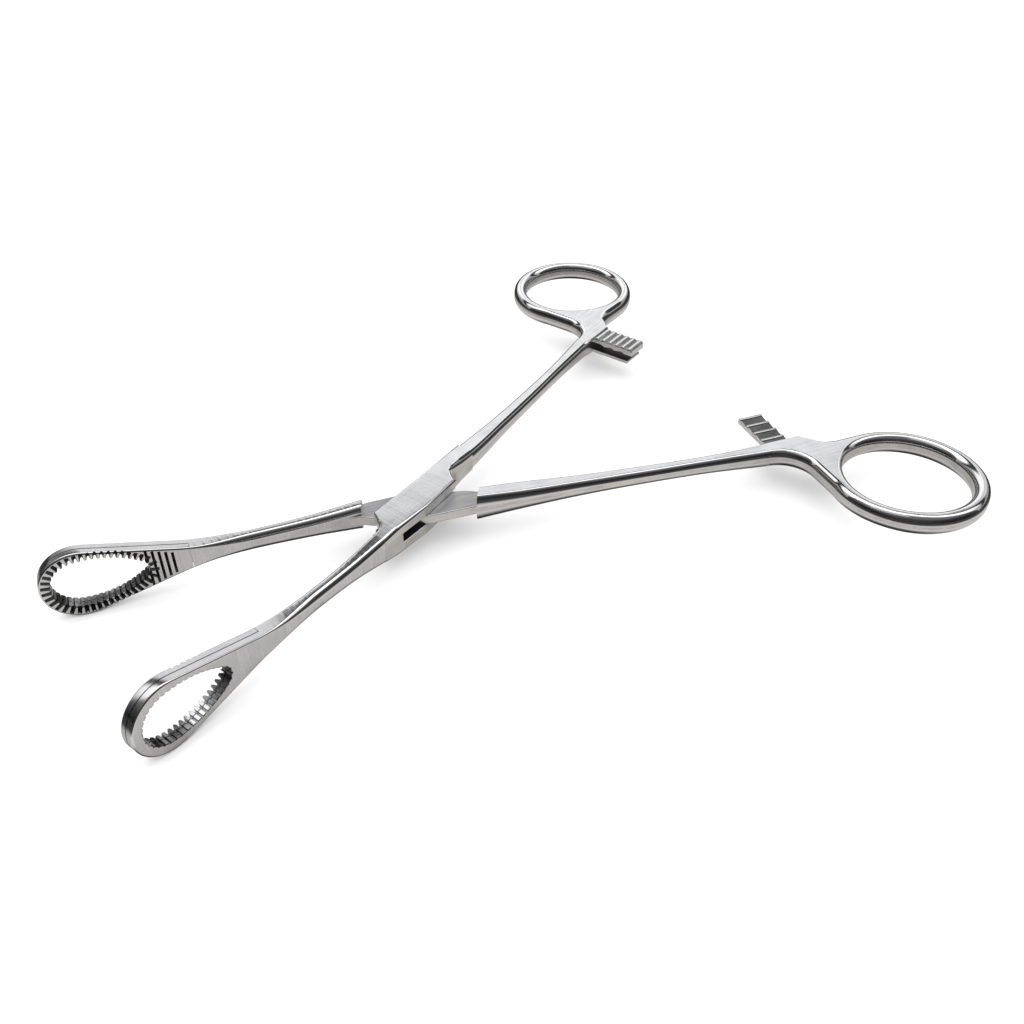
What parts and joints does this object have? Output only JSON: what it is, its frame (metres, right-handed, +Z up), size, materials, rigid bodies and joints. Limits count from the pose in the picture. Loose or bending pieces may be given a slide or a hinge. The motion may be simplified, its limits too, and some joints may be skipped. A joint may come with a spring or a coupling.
{
  "type": "sponge forceps",
  "caption": "Straight ring-handled forceps with a box lock, a forked ratchet and upright oval fenestrated jaws with serrated faces.",
  "frame": {"origin": "on the pivot axis in the plane of the lock's underside", "axes": "+Z up along the pivot, +X midway between the two finger rings as the forceps lie open"},
  "size_m": [0.1659, 0.1356, 0.014],
  "materials": {
    "satin_steel": "satin",
    "jaw_steel": "fine brushed",
    "pin_steel": "brushed flush"
  },
  "bodies": {
    "box_side": {"box_half": "satin_steel", "pivot_pin": "pin_steel", "box_jaw_plate": "jaw_steel"},
    "tongue_side": {"tongue_half": "satin_steel", "tongue_jaw_plate": "jaw_steel"}
  },
  "joints": [
    {"name": "lock_pivot", "type": "hinge", "parent": "box_side", "child": "tongue_side", "pos_m": [0, 0, 0.0033], "axis": [0, 0, 1], "range_deg": [-55, 32.5]}
  ]
}
